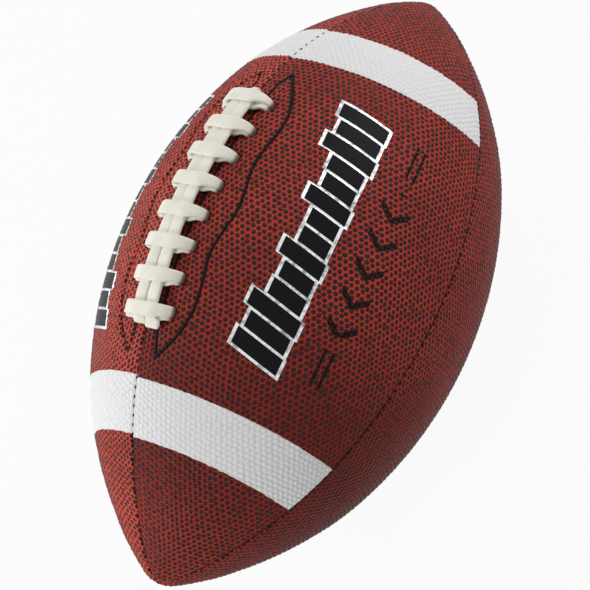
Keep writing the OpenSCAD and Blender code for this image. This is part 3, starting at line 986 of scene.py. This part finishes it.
# %% The crossbars, each over its run inside the ball
def lace_piece(name, strips, replaced):
    """Joins the strips and stores how far each point has gone down into its hole."""
    points, faces, base = [], [], 0
    for more_points, more_faces in strips:
        faces += [tuple(index + base for index in face) for face in more_faces]
        points.append(more_points)
        base += len(more_points)
    points = np.vstack(points)
    piece = build_mesh(name, points, faces, LACE)
    below = side_view(along_at(points[:, 0]))[0] - np.hypot(points[:, 1], points[:, 2])
    sideways = points[:, 1] * np.where(points[:, 1] < 0, -1.1, 1.0)
    # Painted shade and dirt: stored where the lace goes down into its hole.
    dip = smooth(below, -2.0, 1.1) * smooth(sideways, 9.8, 12.4)
    layer = piece.data.attributes.new("dip", "FLOAT", "POINT")
    layer.data.foreach_set("value", dip.astype(np.float32))
    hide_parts(replaced)
    print(name, len(piece.data.polygons), "faces")


rng = np.random.default_rng(70)
strips = []
for x in BAR_X[:-1]:
    strips.append(crossbar(x, ARCH, LACE_T, LACE_W, rng))
    strips.append(crossbar(x - (1.4 if x == BAR_X[0] else 0.85), UNDER, UNDER_T, UNDER_W, rng))
# The foremost bar is wider, lies a little further ahead and tapers to the right.
strips.append(crossbar(BAR_X[-1] + 1.0, ARCH, LACE_T, LACE_W * 1.06, rng, taper_right=0.66))
strips.append(crossbar(BAR_X[-1] - 0.85, UNDER, UNDER_T, UNDER_W, rng))
lace_piece("lace_bars", strips, "lace_crossbars")

# %% The two strands and the tucked end
FRONT_END, STRAND_TOP = 46.6, 2.6


def strand(side, tail_middle, rear_end, tail_width, tail_droop):
    """One of the two long strips side by side under the crossbars. Its tail lies behind them."""
    path, over, widths, thick = [], [], [], []
    for x in np.linspace(rear_end, FRONT_END, 170):
        base, _, up = top_of_ball(x)
        behind = BAR_X[0] - LACE_W / 2 - x
        slack = 0.12 * math.cos(2 * math.pi * (x - BAR_X[0] - BAR_PITCH / 2) / BAR_PITCH)
        droop = tail_droop * smooth(behind, -2.5, 2.6)
        end_in = min(x - rear_end, FRONT_END - x)
        blunt = math.sqrt(max(0.04, 1 - (1 - min(1.0, end_in / 1.1)) ** 2))
        spread = smooth(behind, -2.0, 1.0)
        part = -0.7 + 1.2 * smooth(-x, 8, 34)
        y = side * (LACE_W / 2 + part / 2) * (1 - spread) + side * tail_middle * spread
        wide = LACE_W * (1 - spread) + tail_width * spread
        path.append(base - LEFTWARDS * y + up * (STRAND_TOP + slack - droop))
        over.append(up)
        widths.append(wide * (0.8 + 0.2 * blunt))
        thick.append(LACE_T * 1.06 * blunt)
    return sweep(path, [-LEFTWARDS] * len(path), over, widths, thick, crown=0.22)


def tucked_end(sideways, reach, width):
    """The little loop of the lace that shows in front of the foremost crossbar."""
    base, ahead, up = top_of_ball(BAR_X[-1])
    loop = smooth_curve([
        (0.0, 4.4), (reach - 1.0, 4.5), (reach - 0.1, 3.7), (reach, 2.6), (reach - 0.9, 1.4),
    ], 30)
    path = [base - LEFTWARDS * sideways + ahead * a + up * h for a, h in loop]
    over = [up * a - ahead * h for a, h in unit_tangents(loop)]
    count = len(path)
    return sweep(path, [-LEFTWARDS] * count, over, [width] * count, [1.2] * count)


strands = [
    strand(1, 5.2, -55.6, 7.2, 1.15),
    strand(-1, 2.1, -54.6, 6.8, 1.5),
    tucked_end(3.6, 4.9, 2.8),
]
lace_piece("lace_strands", strands, "lace_spine")

# %% [markdown]
# ## Pieces inside the cover
#
# The linings, facings, pad, bladder and valve keep their CAD shapes, which are right, and get
# their own finishes: woven cloth, thin sheet rubber and moulded rubber.

# %% Finishes of the inner pieces
def cloth_material(name, light, dark, scale):
    material, start, shader, place = new_material(name)
    warp, weft = (
        (start.node("ShaderNodeSeparateXYZ", inputs={0: place}, output=axis) * scale).math("SINE")
        for axis in ("X", "Y")
    )
    weave = warp * weft * 0.5 + 0.5
    colour = weave.mix(dark, light)
    normal = bump(start, weave, 0.4, 0.0002)
    feed(start, shader, Base_Color=colour, Roughness=0.85, Normal=normal)
    return material


def rubber_material(name, colour, roughness):
    material, start, shader, place = new_material(name)
    grain = noise(start, place, 900, 3)
    dust = noise(start, place, 90, 2).between(0.5, 0.8)
    tone = (dust * 0.5).mix(colour, rgb(0.07, 0.07, 0.07))
    normal = bump(start, grain, 0.2, 0.0001)
    feed(start, shader, Base_Color=tone, Roughness=roughness + grain * 0.15, Normal=normal)
    return material


LINING = cloth_material("laminated_cloth", rgb(0.72, 0.68, 0.57), rgb(0.55, 0.51, 0.42), 5200)
FACING = cloth_material("woven_tape", rgb(0.52, 0.42, 0.28), rgb(0.38, 0.3, 0.2), 4200)
SHEET_RUBBER = rubber_material("sheet_rubber", rgb(0.05, 0.05, 0.05), 0.55)
BLADDER = rubber_material("bladder_rubber", rgb(0.02, 0.02, 0.022), 0.45)
VALVE = rubber_material("valve_rubber", rgb(0.015, 0.015, 0.016), 0.38)

finishes = {
    "lining_": LINING,
    "facing_": FACING,
    "lace_pad": SHEET_RUBBER,
    "bladder": BLADDER,
    "valve_": VALVE,
}
for name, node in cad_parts.items():
    for prefix, material in finishes.items():
        if name.startswith(prefix):
            for slot in node.material_slots:
                slot.material = material
print("inner pieces finished")

# %% [markdown]
# ## Floor and light
#
# The photograph is a packshot: soft light from all round and a white ground. One lamp stands
# low on the left side and makes that limb the brightest part. Two banks, one past the rear end
# and one past the front, light the ends and the right side evenly, and a small lamp above puts
# a grey glint on the inked grains. The world fills the rest. Rays that the camera or a shiny
# surface sends see white; the floor keeps a faint shadow.

# %% Floor
def seen_directly(start):
    """One for camera, glossy and transmission rays, and nought for all other rays."""
    rays = [
        start.node("ShaderNodeLightPath", output="Is %s Ray" % kind)
        for kind in ("Camera", "Glossy", "Transmission")
    ]
    return rays[0].math("MAXIMUM", rays[1]).math("MAXIMUM", rays[2])


def studio_floor(reach=3.0, gap=0.0002):
    """A square floor in metres, just under the ball."""
    low = cad_box[0].z - gap
    corners = [(x * reach, y * reach, low) for x, y in ((-1, -1), (1, -1), (1, 1), (-1, 1))]
    mesh = bpy.data.meshes.new("floor")
    mesh.from_pydata(corners, [], [(0, 1, 2, 3)])
    floor = bpy.data.objects.new("floor", mesh)
    bpy.context.scene.collection.objects.link(floor)
    material, start, shader, _ = new_material("pale_floor")
    shader.inputs["Base Color"].default_value = rgb(0.6, 0.6, 0.6)
    shader.inputs["Roughness"].default_value = 0.9
    shader.inputs["Specular IOR Level"].default_value = 0.0
    glow = start.node("ShaderNodeEmission", inputs={"Color": rgb(1, 1, 1), "Strength": 1.0})
    plain = Wire(start.tree, shader.outputs[0])
    seen = seen_directly(start) * 0.94
    mixed = start.node("ShaderNodeMixShader", inputs={0: seen, 1: plain, 2: glow})
    output = start.tree.nodes["Material Output"]
    start.tree.links.new(mixed.socket, output.inputs["Surface"])
    mesh.materials.append(material)


studio_floor()
print("floor", round(cad_box[0].z / MM, 1), "mm below the axis")

# %% Lamps
LAMP_DISTANCE = 1.2


def soft_lamp(name, direction, size, watts):
    """A round lamp that looks at the middle of the ball."""
    lamp = bpy.data.lights.new(name, "AREA")
    lamp.shape = "DISK"
    lamp.size = size
    lamp.energy = watts
    holder = bpy.data.objects.new(name, lamp)
    holder.location = Vector(direction).normalized() * LAMP_DISTANCE
    holder.rotation_mode = "QUATERNION"
    holder.rotation_quaternion = (-Vector(direction)).to_track_quat("-Z", "Y")
    bpy.context.scene.collection.objects.link(holder)


soft_lamp("left_key", (-0.1, 0.91, 0.4), 0.45, 4.4)
soft_lamp("rear_bank", (-0.86, 0.25, 0.43), 0.45, 5.8)
soft_lamp("front_bank", (0.8, -0.43, 0.43), 0.6, 4.9)
soft_lamp("glint", (0.53, -0.12, 0.83), 0.16, 1.4)

print("four lamps", LAMP_DISTANCE, "m from the ball")

# %% World
world = bpy.data.worlds.new("studio")
world.use_nodes = True
bpy.context.scene.world = world
sky = Wire(world.node_tree)
dim = sky.node("ShaderNodeBackground", inputs={"Color": rgb(1, 1, 1), "Strength": 0.4})
white = sky.node("ShaderNodeBackground", inputs={"Color": rgb(1, 1, 1), "Strength": 1.0})
blend = sky.node("ShaderNodeMixShader", inputs={0: seen_directly(sky), 1: dim, 2: white})
output = world.node_tree.nodes["World Output"]
world.node_tree.links.new(blend.socket, output.inputs["Surface"])
bpy.context.scene.view_settings.view_transform = "Standard"
print("studio ready")
